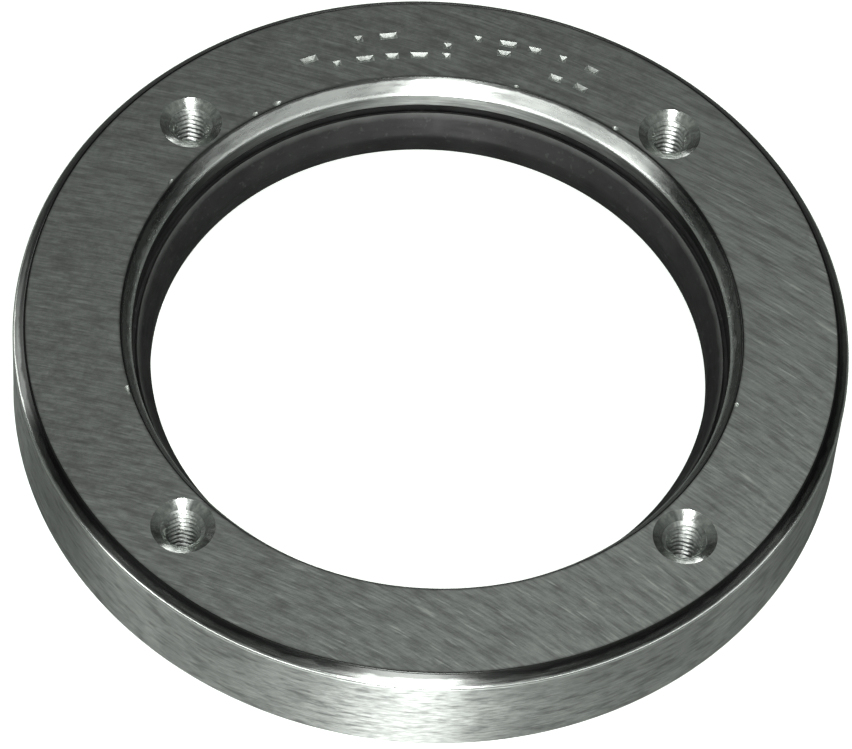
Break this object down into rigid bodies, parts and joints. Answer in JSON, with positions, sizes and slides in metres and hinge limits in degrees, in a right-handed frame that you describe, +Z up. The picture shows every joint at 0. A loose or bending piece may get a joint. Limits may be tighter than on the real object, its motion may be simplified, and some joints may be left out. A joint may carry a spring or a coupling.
{
  "type": "toilet flange",
  "caption": "Thick turned steel toilet flange ring with a bevelled bore, a pressed-in rubber lip seal and a circle of countersunk tapped holes.",
  "frame": {"origin": "centre of the ring's underside", "axes": "+Z up along the bore axis, from the underside to the toilet face; the tapped holes lie at 45, 135, 225 and 315 degrees from +X"},
  "size_m": [0.184, 0.184, 0.0254],
  "materials": {
    "turned_steel": "turned and ground grey steel, light oil film",
    "pressed_steel": "pressed sheet steel, satin",
    "black_rubber": "moulded black nitrile, dull"
  },
  "bodies": {
    "root": {"flange_ring": "turned_steel", "seal_case": "pressed_steel", "bore_seal": "black_rubber"}
  },
  "joints": []
}
